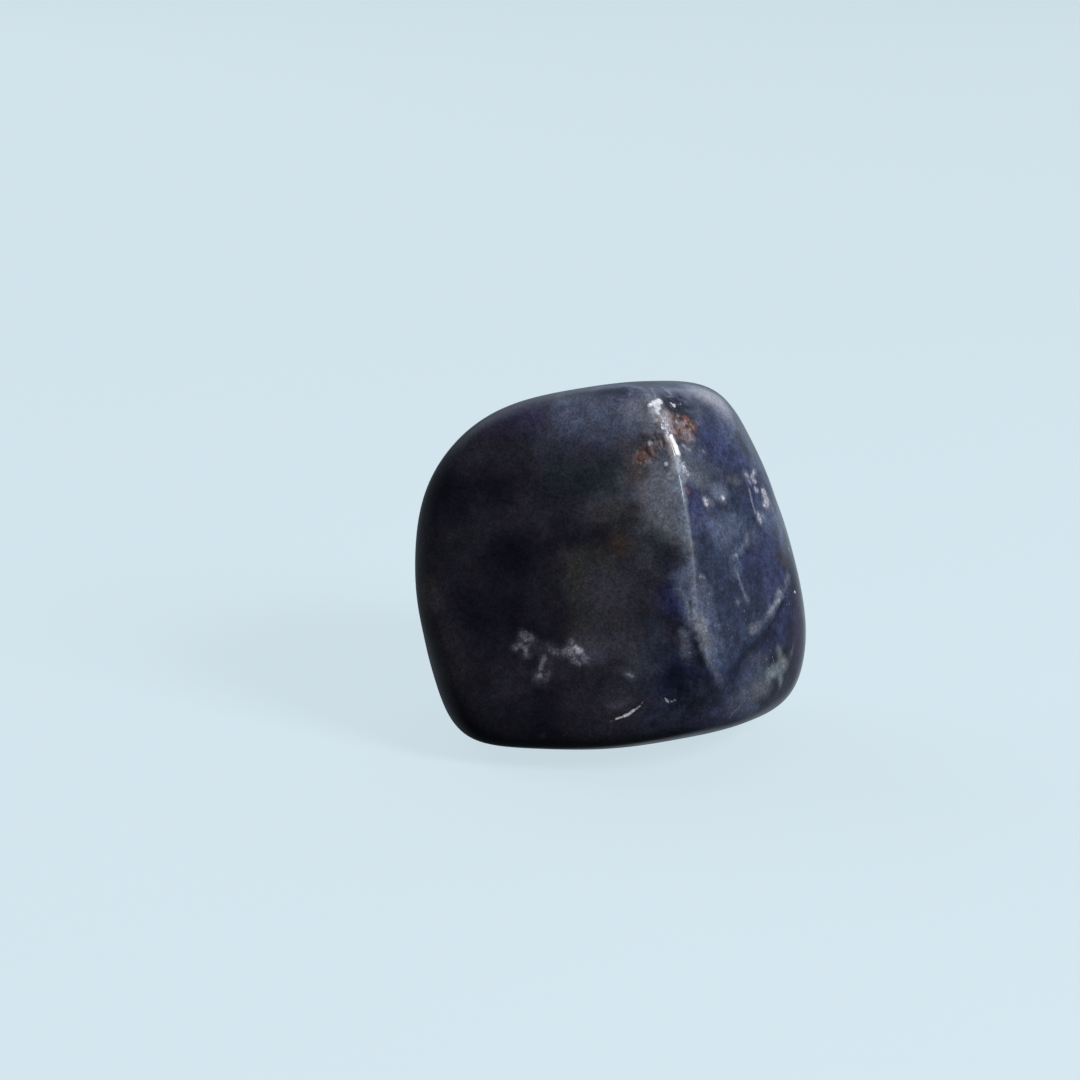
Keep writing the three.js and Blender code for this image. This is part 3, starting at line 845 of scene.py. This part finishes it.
# The white of the pale breaks and of the painted highlights.
CHIP_AND_HIGHLIGHT_COLOUR = (0.91, 0.94, 1.0)
RUST_DARK = (0.065, 0.038, 0.042)
RUST_RED = (0.29, 0.125, 0.088)
RUST_PALE = (0.46, 0.36, 0.38)
WARM_TINT = (1.05, 0.98, 0.95)
COOL_TINT = (0.95, 1.01, 1.04)
BLUE_SHARES = (1.6, 2.4)  # blue over red, from where the stone's mottling begins to where it is in full
MOTTLING = 0.32
MOST_OF_NOISE = (0.3, 0.7)  # the values that most of a noise lies between
CLOUD_CONTRAST = (0.82, 1.18)
GRAIN_CONTRAST = (0.75, 1.25)
SPECKLE_CONTRAST = (0.48, 1.52)
DUST_SPACING = 0.36
DOT_EDGE = (0.32, 0.14)  # where a dot of dust begins and where it is in full, in spacings
DOT_RARITY = (0.45, 0.8)  # the chance below which a dot is missing, and above which it is in full
# The edges of each family of crisp marks, in millimetres: how far a noise pushes them in and out, the gap
# outside them where the mark begins, and the gap at which it is in full.
EDGES = {
    "dark": (0.3, 0.10, -0.05),
    "vein": (0.8, 0.42, -0.20),
    "rust": (1.4, 0.2, -0.1),
    "fleck": (0.8, 0.14, -0.14),
    "dust": (2.0, 0.6, -0.4),
    "glint": (0.12, 0.04, -0.04),
    "bevel_and_highlight": (0.15, 0.08, -0.06),
    "worn": (0.2, 0.12, 0.0),
}
HALO_EDGE = (1.2, 0.42, -0.1)  # the same for the halo of the flecks
HALO_STRENGTH = 0.5
POLISH = (0.2, 0.28)  # roughness of the polish, from its clearest patches to its dullest
WORN_ROUGHNESS = 0.55
INDEX_OF_REFRACTION = 1.483


class Graph:
    """A material's node tree, with a short call for each kind of node that is used here."""

    def __init__(self, material):
        material.use_nodes = True
        self.tree = material.node_tree
        self.tree.nodes.clear()

    def node(self, kind, **settings):
        node = self.tree.nodes.new(kind)
        for name, value in settings.items():
            setattr(node, name, value)
        return node

    def feed(self, socket, source):
        if isinstance(source, bpy.types.NodeSocket):
            self.tree.links.new(source, socket)
        else:
            socket.default_value = source

    def layer(self, name, output="Fac"):
        return self.node("ShaderNodeAttribute", attribute_name=name).outputs[output]

    def channels(self, colour):
        """The red, green and blue of a colour."""
        node = self.node("ShaderNodeSeparateColor")
        self.feed(node.inputs[0], colour)
        return node.outputs

    def millimetres(self):
        scaled = self.node("ShaderNodeVectorMath", operation="SCALE")
        self.feed(scaled.inputs[0], self.node("ShaderNodeTexCoord").outputs["Object"])
        self.feed(scaled.inputs["Scale"], 1 / MM)
        return scaled.outputs[0]

    def noise(self, where, wavelength, detail=3.0, roughness=0.55, seed=0.0):
        node = self.node("ShaderNodeTexNoise", noise_dimensions="4D")
        self.feed(node.inputs["Vector"], where)
        self.feed(node.inputs["W"], seed)
        self.feed(node.inputs["Scale"], 1 / wavelength)
        self.feed(node.inputs["Detail"], detail)
        self.feed(node.inputs["Roughness"], roughness)
        return node.outputs["Fac"]

    def dots(self, where, spacing):
        """Small round dots of many strengths, about a spacing apart."""
        node = self.node("ShaderNodeTexVoronoi")
        self.feed(node.inputs["Vector"], where)
        self.feed(node.inputs["Scale"], 1 / spacing)
        dot = self.between(node.outputs["Distance"], *DOT_EDGE)
        return self.math("MULTIPLY", dot, self.between(node.outputs["Color"], *DOT_RARITY))

    def math(self, operation, first, second=0.0, third=0.0):
        node = self.node("ShaderNodeMath", operation=operation)
        for socket, source in zip(node.inputs, (first, second, third)):
            self.feed(socket, source)
        return node.outputs[0]

    def between(self, value, low, high, start=0.0, end=1.0):
        """Eases from start to end while the value goes from low to high."""
        node = self.node("ShaderNodeMapRange", interpolation_type="SMOOTHSTEP")
        for socket, source in zip(node.inputs, (value, low, high, start, end)):
            self.feed(socket, source)
        return node.outputs[0]

    def mix(self, share, first, second, blend="MIX"):
        node = self.node("ShaderNodeMix", data_type="RGBA", blend_type=blend)
        self.feed(node.inputs["Factor"], share)
        self.feed(node.inputs[6], first)
        self.feed(node.inputs[7], second)
        return node.outputs[2]


def crisp_mark(g, name, ragged, edge):
    """A family's mark as a share from 0 to 1, with its edge as in EDGES and pushed by a ragged noise."""
    push, outside, inside = edge
    pushed = g.math("MULTIPLY_ADD", g.math("SUBTRACT", ragged, 0.5), push, g.layer(name + "_gap"))
    return g.math("MULTIPLY", g.between(pushed, outside, inside), g.layer(name + "_strength"))


def sodalite():
    material = bpy.data.materials.new("sodalite")
    g = Graph(material)
    where = g.millimetres()
    cloudy = g.noise(where, 1.3, detail=4, roughness=0.6, seed=2)
    hue = g.noise(where, 1.0, detail=3, roughness=0.6, seed=7)
    grain = g.noise(where, 0.40, detail=4, roughness=0.65, seed=3)
    speckle = g.noise(where, 0.15, detail=3, roughness=0.7, seed=4)
    ragged = g.noise(where, 0.7, detail=5, roughness=0.65, seed=5)
    ragged_fine = g.noise(where, 0.35, detail=4, roughness=0.75, seed=6)
    mottles = g.noise(where, 0.55, detail=3, roughness=0.6, seed=8)

    def marks(name, noise):
        return crisp_mark(g, name, noise, EDGES[name])

    colour = g.layer("body_colour", "Color")
    colour = g.mix(1.0, colour, g.between(cloudy, *MOST_OF_NOISE, *CLOUD_CONTRAST), blend="MULTIPLY")
    tint = g.mix(g.between(hue, 0.35, 0.65), (*WARM_TINT, 1), (*COOL_TINT, 1))
    colour = g.mix(1.0, colour, tint, blend="MULTIPLY")
    red, _, blue = g.channels(colour)
    blueness = g.between(g.math("DIVIDE", blue, red), *BLUE_SHARES)
    mottled = g.between(mottles, 0.32, 0.68, -MOTTLING, MOTTLING)
    colour = g.mix(1.0, colour, g.math("MULTIPLY_ADD", mottled, blueness, 1.0), blend="MULTIPLY")
    colour = g.mix(marks("dark", ragged_fine), colour, (*CRACK_COLOUR, 1))
    broken = g.math(
        "MULTIPLY",
        g.between(grain, 0.3, 0.6, 0.6, 1.0),
        g.between(hue, 0.38, 0.55, 0.55, 1.0),
    )
    colour = g.mix(g.math("MULTIPLY", marks("vein", ragged), broken), colour, (*VEIN_COLOUR, 1))
    rusty = g.mix(g.between(grain, 0.42, 0.60), (*RUST_DARK, 1), (*RUST_RED, 1))
    rusty = g.mix(g.between(ragged_fine, 0.50, 0.64), rusty, (*RUST_PALE, 1))
    rust = marks("rust", ragged)
    colour = g.mix(rust, colour, rusty)
    halo = crisp_mark(g, "fleck", ragged, HALO_EDGE)
    colour = g.mix(g.math("MULTIPLY", halo, HALO_STRENGTH), colour, (*HALO_COLOUR, 1))
    fleck = g.math("MULTIPLY", marks("fleck", ragged_fine), g.between(speckle, 0.35, 0.6, 0.55, 1.0))
    colour = g.mix(fleck, colour, (*FLECK_COLOUR, 1))
    dust = g.math("MULTIPLY", marks("dust", ragged), g.dots(where, DUST_SPACING))
    colour = g.mix(dust, colour, (*DUST_COLOUR, 1))
    # Painted highlights: the glints, and the ridge's pale breaks, which also carry a painted highlight.
    chips_and_highlights = g.math("MAXIMUM", marks("glint", ragged_fine), marks("bevel_and_highlight", ragged_fine))
    colour = g.mix(chips_and_highlights, colour, (*CHIP_AND_HIGHLIGHT_COLOUR, 1))
    colour = g.mix(1.0, colour, g.between(grain, 0.25, 0.75, *GRAIN_CONTRAST), blend="MULTIPLY")
    colour = g.mix(1.0, colour, g.between(speckle, 0.2, 0.8, *SPECKLE_CONTRAST), blend="MULTIPLY")

    shader = g.node("ShaderNodeBsdfPrincipled")
    g.feed(shader.inputs["Base Color"], colour)
    polish = g.between(cloudy, *MOST_OF_NOISE, *POLISH)
    matt = g.math("MULTIPLY", g.math("MAXIMUM", rust, marks("worn", ragged_fine)), WORN_ROUGHNESS)
    g.feed(shader.inputs["Roughness"], g.math("MAXIMUM", polish, matt))
    shader.inputs["IOR"].default_value = INDEX_OF_REFRACTION
    output = g.node("ShaderNodeOutputMaterial")
    g.feed(output.inputs["Surface"], shader.outputs["BSDF"])
    return material


# ---------------------------------------------------------------- the stage


def floor():
    """A wide pale floor. It glows by itself, so that shadows on it stay faint."""
    mesh = bpy.data.meshes.new("floor")
    disc = bmesh.new()
    bmesh.ops.create_circle(disc, cap_ends=True, segments=96, radius=FLOOR_RADIUS)
    disc.to_mesh(mesh)
    disc.free()
    ground = bpy.data.objects.new("floor", mesh)
    ground.location = (0, 0, LOW.z)
    ground.visible_glossy = False
    ground.visible_diffuse = False
    bpy.context.scene.collection.objects.link(ground)
    material = bpy.data.materials.new("pale_floor")
    g = Graph(material)
    glow = g.node("ShaderNodeEmission")
    g.feed(glow.inputs["Color"], (*PALE_BLUE, 1))
    g.feed(glow.inputs["Strength"], FLOOR_GLOW)
    matt = g.node("ShaderNodeBsdfDiffuse")
    g.feed(matt.inputs["Color"], (*FLOOR_MATT, 1))
    both = g.node("ShaderNodeAddShader")
    g.feed(both.inputs[0], glow.outputs[0])
    g.feed(both.inputs[1], matt.outputs[0])
    g.feed(g.node("ShaderNodeOutputMaterial").inputs["Surface"], both.outputs[0])
    mesh.materials.append(material)


def soft_light(name, turn, tilt, distance, width, height, watts, mirrored=True):
    """A rectangular softbox that faces the stone from a compass turn and a tilt."""
    data = bpy.data.lights.new(name, "AREA")
    data.shape = "RECTANGLE"
    data.size, data.size_y = width, height
    data.energy = watts
    light = bpy.data.objects.new(name, data)
    light.location = HEART + towards(turn, tilt) * distance
    light.rotation_euler = towards(turn, tilt).to_track_quat("Z", "Y").to_euler()
    light.visible_glossy = mirrored
    bpy.context.scene.collection.objects.link(light)


def room():
    """The dim room that lights the stone, with soft glows in it, and the floor's pale blue beyond it."""
    world = bpy.data.worlds.new("room")
    bpy.context.scene.world = world
    g = Graph(world)
    strength = ROOM_LIGHT
    for glow in ROOM_GLOWS:
        facing = g.node("ShaderNodeVectorMath", operation="DOT_PRODUCT")
        g.feed(facing.inputs[0], g.node("ShaderNodeTexCoord").outputs["Generated"])
        g.feed(facing.inputs[1], towards(glow["turn"], glow["tilt"]))
        faded, full = math.cos(math.radians(glow["faded"])), math.cos(math.radians(glow["full"]))
        share = g.between(facing.outputs["Value"], faded, full)
        strength = g.math("MULTIPLY_ADD", share, glow["strength"], strength)
    dim = g.node("ShaderNodeBackground")
    g.feed(dim.inputs["Color"], (*ROOM_COLOUR, 1))
    g.feed(dim.inputs["Strength"], strength)
    pale = g.node("ShaderNodeBackground")
    g.feed(pale.inputs["Color"], (*PALE_BLUE, 1))
    either = g.node("ShaderNodeMixShader")
    g.feed(either.inputs[0], g.node("ShaderNodeLightPath").outputs["Is Camera Ray"])
    g.feed(either.inputs[1], dim.outputs[0])
    g.feed(either.inputs[2], pale.outputs[0])
    g.feed(g.node("ShaderNodeOutputWorld").inputs["Surface"], either.outputs[0])


def camera():
    data = bpy.data.cameras.new("camera")
    data.lens = LENS
    data.sensor_width = SENSOR
    data.clip_start = NEAREST_SEEN
    eye = bpy.data.objects.new("camera", data)
    axes = Matrix((CAMERA_RIGHT, CAMERA_UP, CAMERA_BACK)).transposed().to_4x4()
    eye.matrix_world = Matrix.Translation(CAMERA_PLACE) @ axes
    bpy.context.scene.collection.objects.link(eye)
    bpy.context.scene.camera = eye


# ---------------------------------------------------------------- making it


bpy.context.scene.view_settings.view_transform = "Standard"
camera()
room()
floor()
soft_light("key", **KEY_LIGHT)
soft_light("back", **BACK_LIGHT)
soft_light("wall", **WALL_LIGHT, mirrored=False)

skin = smooth_skin(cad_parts["stone"].data)
tree = tree_of(skin)
refine(skin, tree)
paint_clouds(skin, tree)
lay_crisp_marks(skin, tree)
cut_relief(skin, tree)
skin.shade_smooth()
skin.materials.clear()
skin.materials.append(sodalite())
pebble = bpy.data.objects.new("sodalite_pebble", skin)
bpy.context.scene.collection.objects.link(pebble)
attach(pebble, "root")
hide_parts("stone")
